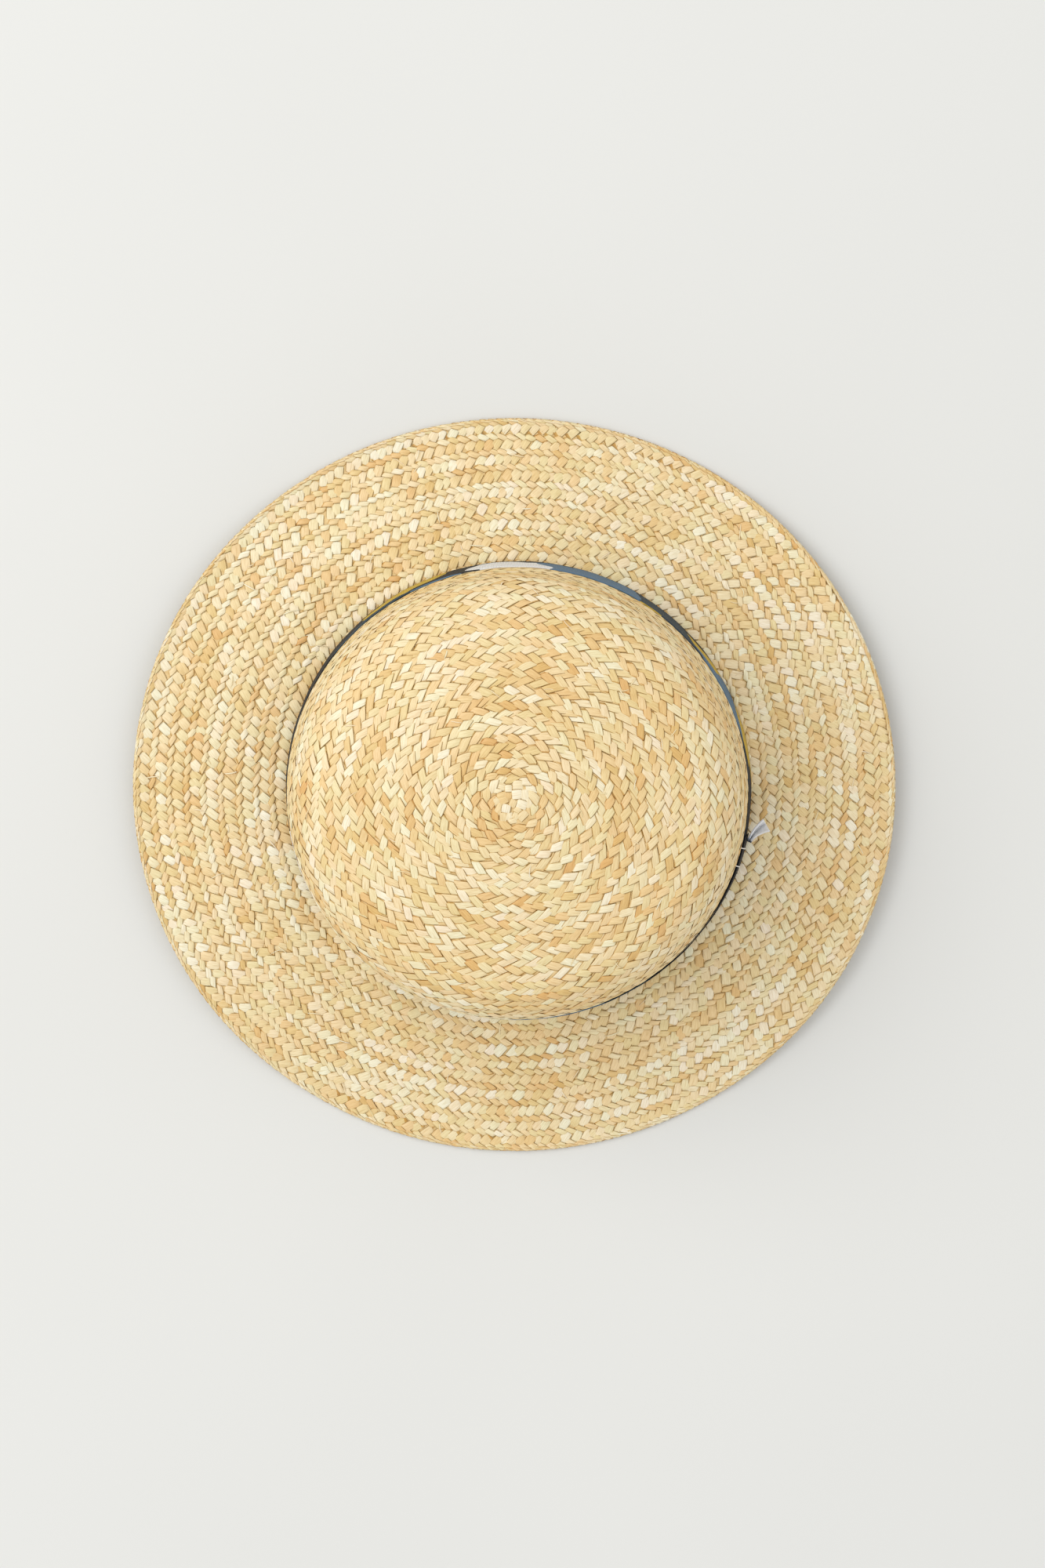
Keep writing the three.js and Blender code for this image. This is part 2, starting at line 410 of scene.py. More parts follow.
# %% Straw finish
STRAW_TONES = [  # from bleached to amber
    (0.0, (246, 239, 219)),
    (0.2, (243, 231, 199)),
    (0.45, (239, 220, 176)),
    (0.75, (234, 205, 149)),
    (1.0, (224, 184, 118)),
]
STRAW_TINTS = [(0.0, (255, 247, 240)), (0.5, (255, 255, 252)), (1.0, (250, 252, 240))]
STREAKS = [(0.3, (226, 212, 186)), (0.6, (255, 255, 255))]
# dust and painted crease shade, darkest at the very ends and edges of a blade
DUST_AND_CREASE_SHADE = [(0.25, (255, 255, 255)), (0.62, (220, 190, 130)), (0.9, (150, 112, 58))]


def plaited_straw():
    """The straw's tone times its tint, its streaks and its dust and painted crease shade, with ridges along
    its fibres.
    """
    finish, add, link = new_finish("plaited_straw", 0.4)
    tone, tint, crease = (
        add("ShaderNodeAttribute", attribute_name=key).outputs["Fac"] for key in ("tone", "tint", "crease")
    )
    fibre = add("ShaderNodeUVMap", uv_map="fibre").outputs["UV"]
    grain = add("ShaderNodeMapping", {"Vector": fibre, "Scale": (0.22, 2.6, 1.0)}).outputs["Vector"]
    noise = {"Vector": grain, "Scale": 1.0, "Detail": 3.0, "Roughness": 0.6}
    streak = add("ShaderNodeTexNoise", noise).outputs["Fac"]
    colour = multiply(add, ramp(add, tone, STRAW_TONES), ramp(add, tint, STRAW_TINTS))
    colour = multiply(add, colour, ramp(add, streak, STREAKS), 0.75)
    # the straw's colour times dust and painted shade in the creases between blades
    link(multiply(add, colour, ramp(add, crease, DUST_AND_CREASE_SHADE)), "Base Color")
    link(bump(add, streak, 0.35, 0.1), "Normal")
    return finish


straw_finish = plaited_straw()
print("finish:", straw_finish.name)

# %% [markdown]
# ## The crown's plait
#
# Each row of plait shows two columns of straws that meet in a V, the herringbone. The row is one long spiral
# that starts at the tip and winds outwards, so a straw's place is a number of turns, and its distance down
# is the spiral's pitch times those turns. Steps of equal length along the spiral keep the straws the same
# size from the tip to the wall. The outer column of each row lies on the inner column of the next.
# The numbers of a plait belong to all its straws: the depth of their bases, the rise of a row from its inner
# to its outer edge (shingle), the form of a blade, how far the straws differ (unrest) and how much dust and
# painted shade darken their creases.
# A column lies at a share of the row's pitch, and its straws stray from there by some tenths of a millimetre.

# %% Crown: measures of the plait
CROWN_PITCH = 6.25  # from row to row
KNOT_RADIUS = 7.6  # the spiral begins here
CROWN_PLAIT = {
    "depth": -0.15,
    "shingle": 0.3,
    "rise": 0.18,
    "sink": 0.3,
    "curl": 4.0,
    "edge": 0.18,
    "unrest": 1.4,
    # how strongly dust and painted shade darken the creases
    "crease_dust_and_shade": 1.15,
}
CROWN_SPACING = 4.7  # from straw to straw along a row
CROWN_COLUMNS = [
    {"share": 0.31, "heading": -30, "length": 9.0, "width": 3.3, "tilt": -0.08, "stray": 0.3, "tone": 0.07},
    {"share": 0.81, "heading": 30, "length": 7.4, "width": 3.25, "tilt": 0.08, "stray": 0.25, "tone": 0.07},
]
print("crown:", round(float(profile_length / CROWN_PITCH), 1), "rows from tip to foot")


# %% Helper: places along a row
STEP_SPREAD = 0.33  # steps along a row differ by this share
WAVE = 12  # straws to one wave of a row


def spread(count, share):
    """Factors around 1, as straws are never quite alike."""
    return 1 + share * rng.uniform(-1, 1, count)


def uneven_places(count):
    """Places of the straws along a row, from 0 to 1, for its two columns. The steps differ by up to a third,
    and each straw of the second column lies between two of the first."""
    steps = np.cumsum(spread(count + 1, STEP_SPREAD))
    steps = (steps - steps[0]) / (steps[-1] - steps[0])
    return steps[:-1], (steps[:-1] + steps[1:]) / 2


def row_wander(count, bend):
    """Millimetres by which a row strays from its line: one bend for each wave, with straight lines between
    them, and the last bend like the first."""
    bends = rng.uniform(-bend, bend, count // WAVE + 3)
    bends[-1] = bends[0]
    return np.interp(np.linspace(0, len(bends) - 1, count), np.arange(len(bends)), bends)


def along_spiral(last):
    """Turns of the spiral in radians for the straws of both columns, from the tip to a last distance down.
    A row's middle lies pitch * (turn / 2 pi + 1/2) down."""
    turn = np.linspace(0, last, 40000) / CROWN_PITCH * 2 * np.pi
    length = np.cumsum(crown_reach(0, CROWN_PITCH * (turn / (2 * np.pi) + 0.5))) * (turn[1] - turn[0])
    places = uneven_places(int(length[-1] / CROWN_SPACING))
    return [np.interp(place * length[-1], length, turn) for place in places]


# %% Helper: a column of straws
STRANDS = 7  # strands of the braid
STRAND_LASTS = 24  # straws along a row after which a strand is replaced


def plait_tones(count):
    """A tone for each straw along a row. One part comes from its stretch of plait, so that pale and golden
    straws lie in runs, one from the strand of the braid, which shows again every STRANDS straws and is
    replaced after STRAND_LASTS of them, and one is its own."""
    order = np.arange(count)
    knots = count // STRANDS + 3
    stretch = smoothstep(np.interp(order / STRANDS, np.arange(knots), rng.random(knots)), 0.1, 0.9)
    strands = rng.random((count // STRAND_LASTS + 2, STRANDS))
    strand = strands[order // STRAND_LASTS + (order % STRANDS > STRANDS // 2), order % STRANDS]
    return np.clip(0.42 * stretch + 0.38 * strand + 0.44 * rng.random(count) - 0.19, 0, 1)


def column_of_straws(angle, down, column, plait):
    """Straws of one column of a row. Their ends are cut along the other column, and a column's height is the
    plait's depth plus its shingle times the column's distance from the row's middle."""
    count = len(angle)
    unrest = plait["unrest"]
    level = plait["depth"] + plait["shingle"] * (column["share"] - 0.5)
    return {
        "angle": angle,
        "down": down + column["stray"] * rng.uniform(-1, 1, count),
        "heading": np.radians(column["heading"] + 3 * unrest * rng.uniform(-1, 1, count)),
        "length": column["length"] * spread(count, 0.06 * unrest),
        "width": column["width"] * spread(count, 0.07 * unrest),
        "skew": np.full(count, -1 / np.tan(2 * np.radians(column["heading"]))),
        "point": np.full(count, 0.1),
        "base": level + 0.05 * unrest * rng.uniform(-1, 1, count),
        "rise": plait["rise"] * spread(count, 0.25),
        "sink": np.full(count, plait["sink"]),
        "curl": np.full(count, plait["curl"]),
        "edge": np.full(count, plait["edge"]),
        "tilt": column["tilt"] * spread(count, 0.4),
        "bow": 0.14 * unrest * rng.uniform(-1, 1, count),
        "crease_dust_and_shade": np.full(count, plait["crease_dust_and_shade"]),
        "tone": plait_tones(count) + column["tone"],
        "tint": rng.random(count),
    }


def gather(columns):
    """One set of straws from several."""
    return {key: np.concatenate([column[key] for column in columns]) for key in columns[0]}


# %% Crown: rows of straw
NEAR_KNOT = 32  # straws are shorter from the knot to this distance down


def crown_straws(last):
    """Both columns of the crown's spiral, from the knot at the tip down to a last distance. Near the knot the
    straws are shorter and more pointed."""
    columns = []
    turns = along_spiral(last + CROWN_PITCH)
    wander = row_wander(len(turns[0]), 0.35)
    for turn, column in zip(turns, CROWN_COLUMNS):
        down = CROWN_PITCH * (turn / (2 * np.pi) + column["share"]) + wander
        keep = (down > KNOT_RADIUS) & (down < last)
        straws = column_of_straws(turn[keep], down[keep], column, CROWN_PLAIT)
        straws["point"] = 0.1 + 0.5 * np.exp(-straws["down"] / 22)
        away = smoothstep(straws["down"], KNOT_RADIUS, NEAR_KNOT)
        straws["length"] = straws["length"] * (0.78 + 0.22 * away)
        columns.append(straws)
    return gather(columns)


# %% Helper: stray slivers
def stray_slivers(angle, down):
    """Thin split ends that lie loosely on the plait: narrow blades of any heading, on top of the others."""
    count = len(angle)
    return {
        "angle": angle,
        "down": down,
        "heading": rng.uniform(-np.pi, np.pi, count),
        "length": rng.uniform(3.5, 8.0, count),
        "width": rng.uniform(0.22, 0.5, count),
        "skew": np.zeros(count),
        "point": np.full(count, 0.7),
        "base": np.full(count, 0.05),
        "rise": rng.uniform(0.15, 0.45, count),
        "sink": np.full(count, 0.3),
        "curl": np.full(count, 2.0),
        "edge": np.full(count, 0.08),
        "tilt": np.zeros(count),
        "bow": rng.uniform(-0.6, 0.6, count),
        "crease_dust_and_shade": np.full(count, 0.5),
        "tone": rng.uniform(0.0, 0.5, count),
        "tint": rng.random(count),
    }


# %% [markdown]
# ## The crown's outside and inside
#
# The tight ribbon presses the straw in, and just above its upper edge the crown stands out a little. That
# bulge is made part of the surface, so that the straws and the ground behind them follow it together. The
# outer rows run on a little way under the ribbon, which hides the rest of the wall, and the inner rows run
# to the foot.

# %% Crown: pieces
BULGE, BULGE_ABOVE, BULGE_REACH = 0.7, 3.5, 3.0  # its height, its middle over the ribbon's edge, its reach
UNDER_RIBBON = 5.0  # the outer rows end this far below the ribbon's upper edge
CROWN_STRAYS = 90


def wall_down(height):
    """Distance down from the tip at which the wall has this height over the table."""
    return profile_length - (height - crown_low[2]) / np.cos(LEAN)


band_low, band_high = node_box("hat_band")
band_down = wall_down(band_high[2])


def crown_bulged(angle, down, out):
    """The crown's outer face, pushed out by BULGE * exp(-x^2), where x is the distance from the bulge's
    middle divided by its reach."""
    from_middle = (down - band_down + BULGE_ABOVE) / BULGE_REACH
    return crown_outside(angle, down, out + BULGE * np.exp(-(from_middle**2)))


crown_strays = stray_slivers(
    rng.uniform(0, 2 * np.pi, CROWN_STRAYS), np.sqrt(rng.uniform(15**2, 120**2, CROWN_STRAYS))
)
outer_straws = gather([crown_straws(band_down + UNDER_RIBBON), crown_strays])
crown_out = lay_straws("crown_plait", outer_straws, crown_bulged, crown_reach)
lining_rows = crown_straws(profile_length)
lay_straws("crown_plait_inside", lining_rows, crown_inside, crown_reach, along=4, inwards=True)

# %% [markdown]
# ## The knot at the tip
#
# The braid begins at the tip, where its first straws are folded over each other into a small knot. A spiral
# can't be followed into its own centre, so these few straws are placed one by one on the plane of the tip,
# from a short table: where the middle of each lies, which way it points, and how high it rests on the others.
# All of them are laid a little longer and wider than the table says, so that they overlap.

# %% Crown: the knot
LONGER, WIDER = 1.3, 1.35  # than in the table
KNOT = np.array(
    [
        # x, y, heading, length, width, base, tone
        [1.6, 6.8, 0, 4.4, 3.2, -0.05, 0.30],
        [-4.6, 6.3, -10, 3.6, 2.4, -0.10, 0.35],
        [-1.9, 5.7, 0, 2.8, 2.3, 0.18, 0.20],
        [-6.0, 4.6, -10, 3.4, 1.6, -0.05, 0.30],
        [-4.4, 3.0, 20, 3.8, 2.0, 0.05, 0.75],
        [-6.6, 0.8, 52, 3.4, 2.5, -0.05, 0.45],
        [-1.8, 3.3, 86, 3.2, 2.2, -0.05, 0.85],
        [1.4, 3.4, 4, 4.2, 3.0, 0.10, 0.10],
        [-3.6, 1.1, 20, 3.6, 2.1, 0.00, 0.75],
        [-0.1, 0.1, 70, 3.4, 2.2, 0.08, 0.55],
        [-5.4, -2.2, 62, 5.6, 2.3, 0.00, 0.60],
        [-2.6, -1.8, 80, 3.4, 2.8, 0.18, 0.08],
        [-3.7, -5.2, 88, 4.0, 2.2, 0.00, 0.50],
        [-1.4, -4.8, 80, 3.6, 2.0, -0.05, 0.25],
        [3.1, -0.4, -20, 4.2, 2.8, 0.10, 0.12],
        [1.6, -2.5, -30, 3.2, 2.0, -0.05, 0.50],
        [1.0, -4.6, 70, 2.8, 2.1, 0.00, 0.45],
        [3.6, -4.6, 45, 4.6, 2.4, 0.02, 0.45],
        [-0.3, -6.7, 12, 3.4, 1.7, -0.05, 0.40],
        [4.6, 3.0, 96, 5.2, 2.4, -0.02, 0.15],
        [6.2, 0.6, 84, 5.0, 2.2, -0.10, 0.25],
    ]
)


def tip_plane(x, y, out):
    """Point of the crown over a plan point x, y from its tip."""
    height = crown_profile(np.hypot(x, y))[1] + out
    return np.stack(np.broadcast_arrays(crown_middle[0] + x, crown_middle[1] + y, height), axis=-1)


def tip_plane_inside(x, y, out):
    """The same on the inner face, with out pointing down."""
    return tip_plane(x, y, -STRAW_WALL - out)


def tip_reach(x, y):
    """On the plane of the tip the two numbers of a place are millimetres as they are."""
    return 1.0


knot = dict(zip(["angle", "down", "heading", "length", "width", "base", "tone"], KNOT.T))
knot |= {"heading": np.radians(knot["heading"]), "base": knot["base"] - 0.1, "skew": 0.0, "point": 0.12}
knot |= {"length": LONGER * knot["length"], "width": WIDER * knot["width"], "crease_dust_and_shade": 1.15, "tint": 0.4}
knot |= {"rise": 0.3, "sink": 0.35, "curl": 3.0, "edge": 0.3, "tilt": 0.06, "bow": 0.2}
# Plain x and y turn the other way round than angle and down, so here it is the outer face that is turned.
lay_straws("crown_knot", knot, tip_plane, tip_reach, inwards=True)
lay_straws("crown_knot_inside", knot, tip_plane_inside, tip_reach, along=4)

# %% [markdown]
# ## The brim's plait
#
# The brim's rows are sewn as one spiral too. Written as rings, each ring drifts outwards by one row over a
# short sector and so runs into the next one, and the last ring tapers off at the rim, as the end of the
# braid does. The straws cross more steeply than on the crown, and the narrow outer column of each row stands
# up like a small rope.

# %% Brim: rows of straw
BRIM_ROWS = 9.35  # from the hole to the rim
BRIM_SPACING = 3.6  # from straw to straw along a row
BRIM_PLAIT = {
    "depth": -0.25,
    "shingle": 0.6,
    "rise": 0.32,
    "sink": 0.3,
    "curl": 2.6,
    "edge": 0.32,
    "unrest": 1.7,
    # how strongly dust and painted shade darken the creases
    "crease_dust_and_shade": 0.85,
}
DRIFT_END = np.radians(55)  # the rows drift outwards between angle 0 and here
FIRST_SHARE, LAST_SHARE = 0.02, 0.99  # straws are kept between these shares of the width
STEADY_SHARE = 0.95  # from here to the rim the rows don't stray
EDGE_SHARE = 0.975  # the last straws lie along this line
BRIM_STRAYS = 110
BRIM_COLUMNS = [
    {"share": 0.38, "heading": -50, "length": 7.2, "width": 3.9, "tilt": -0.05, "stray": 0.35, "tone": -0.05},
    {"share": 0.87, "heading": 30, "length": 5.4, "width": 2.4, "tilt": 0.05, "stray": 0.2, "tone": 0.05},
]


def around_brim(share):
    """Angles round the brim for the straws of both columns of a row at a share of its width."""
    angle = np.linspace(0, 2 * np.pi, 4000)
    length = np.cumsum(brim_reach(angle, share * brim_width(angle))) * (angle[1] - angle[0])
    places = uneven_places(int(length[-1] / BRIM_SPACING))
    return [np.interp(place * length[-1], length, angle) for place in places]


def brim_straws():
    """Both columns of every row that lies on the brim. Rows are counted inwards from the rim, so their
    numbers are negative."""
    columns = []
    for row in range(-11, 0):
        angles = around_brim(np.clip(1 + (row + 0.5) / BRIM_ROWS, 0, 1))
        wander = row_wander(len(angles[0]), 0.5)
        for angle, column in zip(angles, BRIM_COLUMNS):
            share = 1 + (row + column["share"] + smoothstep(angle, 0, DRIFT_END)) / BRIM_ROWS
            down = np.minimum(share, EDGE_SHARE) * brim_width(angle) + wander * (share < STEADY_SHARE)
            keep = (share > FIRST_SHARE) & (share < LAST_SHARE)
            columns.append(column_of_straws(angle[keep], down[keep], column, BRIM_PLAIT))
    return gather(columns)


brim_strays = stray_slivers(rng.uniform(0, 2 * np.pi, BRIM_STRAYS), rng.uniform(8, 58, BRIM_STRAYS))
upper_straws = gather([brim_straws(), brim_strays])
brim_out = lay_straws("brim_plait", upper_straws, brim_top, brim_reach)
lay_straws("brim_plait_underside", brim_straws(), brim_under, brim_reach, along=4, inwards=True)

# %% [markdown]
# ## The rim
#
# At the very edge the outermost straws turn over to the underside, which gives the brim a thin roped rim.
# It is made of two rings of short slanting blades, laid on a thin tube that follows the rim. The second
# number of the surface is now the distance round the tube, from its top over its outer side.

# %% Rim: a rope of turned straws
RIM_TUBE = 1.1  # radius of the tube
RIM_RISE = 1.4  # height of its middle over the rim's underside
RIM_SPACING = 3.6  # from straw to straw
RIM_TURNS = np.radians([40, 140])  # where the two rings of blades lie round the tube


def rim_surface(angle, down, out):
    """Point on a tube along the rim, a distance down round it from its top, and out from it."""
    turn = down / RIM_TUBE
    plan = np.stack([np.cos(angle), np.sin(angle)], axis=-1) * (rim_half - RIM_TUBE)
    normal = plan / rim_half**2
    normal = normal / np.linalg.norm(normal, axis=-1, keepdims=True)
    plan = plan + normal * ((RIM_TUBE + out) * np.sin(turn))[..., None]
    height = rim_height(angle) + RIM_RISE + (RIM_TUBE + out) * np.cos(turn)
    return np.concatenate([plan, height[..., None]], axis=-1)


rim_angle = np.linspace(0, 2 * np.pi, int(2 * np.pi * rim_half.mean() / RIM_SPACING), endpoint=False)
rim_column = {"share": 0.5, "heading": 28, "length": 5.6, "width": 2.7}
rim_column |= {"tilt": 0.04, "stray": 0.15, "tone": 0.05}
rim_rings = []
for i, turn in enumerate(RIM_TURNS):
    around = np.full(len(rim_angle), RIM_TUBE * turn)
    rim_rings.append(column_of_straws(rim_angle + 0.01 * i, around, rim_column, BRIM_PLAIT))
rim = gather(rim_rings)
rim |= {"base": -0.25, "rise": 0.4, "sink": 0.3, "skew": 0.0, "point": 0.3, "edge": 0.3, "curl": 2.2}
lay_straws("brim_rim", rim, rim_surface, brim_reach)

# %% [markdown]
# ## The ground between the straws
#
# The visible blades don't quite cover the surface, and behind them the real plait has the straws' hidden
# lengths. Two closed shells stand for those: a thin tub inside the crown's wall and a thin ring inside the
# brim's. They are deep enough to show only as warm shade in the creases.

# %% Ground: finish and shells
SHELL_STEPS = 144  # round the hat
CROWN_RINGS, BRIM_RINGS = 44, 30  # of each face of a shell
TIP_CAP = 0.6  # radius of the caps that close the crown's shell at the tip
RIM_ROOM = 1.0  # the brim's shell ends this far inside the rim
CROWN_GROUND = (-0.32, -1.5)  # the shell's two faces, out from the crown's outer face
BRIM_GROUND = -0.5  # out from both faces of the brim
ground_finish = mottled_finish(
    "straw_ground", 0.7, 320.0, 3.0, [(0.3, (208, 174, 114)), (0.7, (232, 202, 146))], grit=0.2
)


def strip_quads(rings, size):
    """Quads along sections of size points, left open between a section's last point and its first."""
    ring, k = np.meshgrid(np.arange(rings), np.arange(size - 1), indexing="ij")
    here, after = ring * size + k, (ring + 1) % rings * size + k
    return np.stack([here, here + 1, after + 1, after], -1).reshape(-1, 4)


shell_angle = np.linspace(0, 2 * np.pi, SHELL_STEPS, endpoint=False)[:, None]
shell_down = np.linspace(TIP_CAP, profile_length, CROWN_RINGS)[None, :]
shell_outside = crown_bulged(shell_angle, shell_down, CROWN_GROUND[0])
shell_inside = crown_outside(shell_angle, shell_down[:, ::-1], CROWN_GROUND[1])
shell = np.concatenate([shell_outside, shell_inside], axis=1)
size = shell.shape[1]
first = np.arange(SHELL_STEPS) * size
tip_caps = [first, (first + size - 1)[::-1]]
add_piece("crown_ground", shell, strip_quads(SHELL_STEPS, size), ground_finish, tip_caps)

ring_down = np.linspace(0, 1, BRIM_RINGS)[None, :] * (brim_width(shell_angle) - RIM_ROOM)
ring_top = brim_top(shell_angle, ring_down, BRIM_GROUND)
ring_under = brim_under(shell_angle, ring_down[:, ::-1], BRIM_GROUND)
ring = np.concatenate([ring_top, ring_under], axis=1)
add_piece("brim_ground", ring, ring_quads(SHELL_STEPS, ring.shape[1], True), ground_finish)

# %% [markdown]
# ## The ribbon
#
# A printed cotton ribbon runs once round the foot of the crown, laps over its own start and is caught down
# with two stitches. It is a thin closed strip: for every angle its section is a flat loop that follows the
# leaning wall, and where the ribbon covers its own start the loop steps outwards by one layer. Because the
# strip is held tight against the crown, it is shaped directly instead of by a cloth simulation.

# %% Ribbon: strip
BAND_START, BAND_LAP, BAND_CLIMB, BAND_AHEAD = np.radians([-95, 84, 15, 1])
CLOTH = 0.4  # thickness of the ribbon
GAP = 0.3  # clearance between layers
EASE = 0.1  # room for the ripple under the ribbon
BAND_HEIGHT = band_high[2] - band_low[2]


def band_stand_off(angle):
    """One gap off the straw, and one layer and one gap more where the ribbon covers its own start."""
    clear = BAND_START + 2 * np.pi - BAND_AHEAD
    return GAP + (CLOTH + GAP) * smoothstep(angle, clear - BAND_CLIMB, clear)


def band_point(angle, share, layer):
    """Point of the ribbon at an angle, a share of its width from its lower edge, and a share of its
    thickness. A faint ripple, the same in every turn, keeps it from looking machined."""
    ripple = 0.09 * np.sin(9 * angle + 1.1) * np.sin(4 * angle) + 0.05 * np.sin(31 * angle)
    height = band_low[2] + BAND_HEIGHT * share
    return crown_outside(angle, wall_down(height), band_stand_off(angle) + EASE + CLOTH * layer + ripple)


def flat_strip(name, outer, inner, cloth_map, finish, rows):
    """A closed strip from two grids of points, rings along by points across, with capped ends. In the OFBake
    map the strip is cut into rows that lie above each other."""
    loop = np.concatenate([outer, inner[:, ::-1]], axis=1)
    rings, size = loop.shape[:2]
    quads = ring_quads(rings, size, False)
    caps = [np.arange(size)[::-1], np.arange(size) + (rings - 1) * size]
    ring, k, corner = np.meshgrid(np.arange(rings - 1), np.arange(size), np.arange(4), indexing="ij")
    in_row = int(np.ceil((rings - 1) / rows))
    u = (ring % in_row + np.isin(corner, [2, 3])) / in_row
    v = (ring // in_row + (k + np.isin(corner, [1, 2])) / (size + 1)) / rows
    cells = np.stack([0.01 + 0.98 * u, 0.01 + 0.96 * v], -1).reshape(-1, 2)
    end_cells = np.stack([np.linspace(0.1, 0.9, size), 0.985 + 0.005 * np.sin(np.arange(size))], -1)
    cloth = np.concatenate([cloth_map, cloth_map[:, ::-1]], axis=1).reshape(-1, 2)
    maps = {
        "cloth": np.concatenate([cloth[quads].reshape(-1, 2), *[cloth[cap] for cap in caps]]),
        "OFBake": np.concatenate([cells, end_cells, end_cells + [0, 0.008]]),
    }
    return add_piece(name, loop, quads, finish, caps, maps=maps)


# %% [markdown]
# ## The ribbon's finish
#
# The print is a plain arrangement of large soft-edged blocks in near-black, slate, dusty blue, white and
# mustard. A Voronoi texture gives the blocks: every cell has its own random colour value, and a stepped ramp
# turns that value into one of the five inks. A little noise bends the borders so they look painted, and the
# last stretch is all in the darkest ink. The weave is two sets of fine waves across each other. It is used
# twice, as a bump and as painted shade that darkens the colour between the threads.

# %% Ribbon finish
BLOCK = (34, 20)  # size of a block along and across the ribbon
BEND = 20.0  # how far the noise moves the blocks' borders
END_BLOCK = 500.0  # the ribbon is all dark from here to its end, in millimetres along it
INKS = [
    (0.0, (22, 24, 30)),
    (0.42, (40, 58, 70)),
    (0.58, (88, 116, 140)),
    (0.72, (226, 225, 222)),
    (0.84, (200, 168, 58)),
]


def weave(add, cloth, scales, way):
    """Two sets of fine waves across each other, joined by adding or by multiplying."""
    warp, weft = (
        add("ShaderNodeTexWave", {"Vector": cloth, "Scale": scale}, bands_direction=axis).outputs["Fac"]
        for scale, axis in zip(scales, "XY")
    )
    return add("ShaderNodeMath", {0: warp, 1: weft}, operation=way).outputs["Value"]


def printed_ribbon():
    """One ink for each block of a Voronoi texture with bent borders, times painted shade between the threads.
    """
    finish, add, link = new_finish("printed_ribbon", 0.75)
    cloth = add("ShaderNodeUVMap", uv_map="cloth").outputs["UV"]
    noise = add("ShaderNodeTexNoise", {"Vector": cloth, "Scale": 0.07, "Detail": 0.6}).outputs["Color"]
    bend = add("ShaderNodeVectorMath", {0: noise, 1: (BEND, BEND, 0.0)}, operation="MULTIPLY")
    painted = add("ShaderNodeVectorMath", {0: cloth, 1: bend.outputs["Vector"]}, operation="ADD")
    painted = painted.outputs["Vector"]
    laid = add("ShaderNodeMapping", {"Vector": painted, "Scale": (1 / BLOCK[0], 1 / BLOCK[1], 1.0)})
    cells = {"Vector": laid.outputs["Vector"], "Scale": 1.0}
    blocks = add("ShaderNodeTexVoronoi", cells, voronoi_dimensions="2D").outputs["Color"]
    value = add("ShaderNodeSeparateColor", {"Color": blocks}).outputs["Red"]
    along = add("ShaderNodeSeparateXYZ", {"Vector": painted}).outputs["X"]
    before_end = add("ShaderNodeMath", {0: along, 1: END_BLOCK}, operation="LESS_THAN").outputs["Value"]
    ink = add("ShaderNodeMath", {0: value, 1: before_end}, operation="MULTIPLY").outputs["Value"]
    threads = weave(add, cloth, (0.5, 0.65), "ADD")
    # painted shade between the threads of the weave
    thread_shade = ramp(add, threads, [(0.2, (216, 216, 218)), (0.9, (255, 255, 255))])
    link(multiply(add, ramp(add, ink, INKS, "CONSTANT"), thread_shade), "Base Color")
    link(bump(add, threads, 0.45, 0.1), "Normal")
    return finish


ribbon_finish = printed_ribbon()
print("finish:", ribbon_finish.name)

# %% Ribbon: piece
band_angle = np.linspace(BAND_START, BAND_START + 2 * np.pi + BAND_LAP, 400)[:, None]
band_share = np.linspace(1, 0, 7)[None, :]
band_map = np.stack(np.broadcast_arrays(band_angle * foot_radius, band_share * BAND_HEIGHT), -1)
band_outside, band_inside = (band_point(band_angle, band_share, layer) for layer in (1, 0))
ribbon = flat_strip("ribbon_band", band_outside, band_inside, band_map, ribbon_finish, rows=12)

# %% [markdown]
# ## The ribbon's loose end
#
# The ribbon's end is folded lengthwise and stands out from the band as a small trough: the fold is its
# keel and the two halves of the ribbon are its wings. Each cross-section is a V that opens upwards, and the
# V widens and lifts towards the free end. The inner face is the same V with its wings moved in. The end is
# dark at its root and turns white along a brushed border.

# %% Finish of the loose end
END_INKS = [
    (0.0, (34, 38, 46)),
    (0.2, (60, 66, 76)),
    (0.3, (186, 190, 198)),
    (0.45, (240, 240, 240)),
    (1.0, (232, 233, 236)),
]


def white_end():
    """A ramp of inks along the end, whose borders a noise moves by up to 5 mm, with a fine weave as bump."""
    finish, add, link = new_finish("ribbon_white_end", 0.75)
    cloth = add("ShaderNodeUVMap", uv_map="cloth").outputs["UV"]
    noise = add("ShaderNodeTexNoise", {"Vector": cloth, "Scale": 0.35, "Detail": 2.0}).outputs["Fac"]
    along = add("ShaderNodeSeparateXYZ", {"Vector": cloth}).outputs["X"]
    brushed = add("ShaderNodeMath", {0: noise, 1: 5.0, 2: along}, operation="MULTIPLY_ADD").outputs["Value"]
    shade = add("ShaderNodeMapRange", {"Value": brushed, "From Min": 0.0, "From Max": 15.0}).outputs["Result"]
    link(ramp(add, shade, END_INKS), "Base Color")
    link(bump(add, weave(add, cloth, (0.55, 0.55), "MULTIPLY"), 0.3, 0.1), "Normal")
    return finish


end_finish = white_end()
print("finish:", end_finish.name)

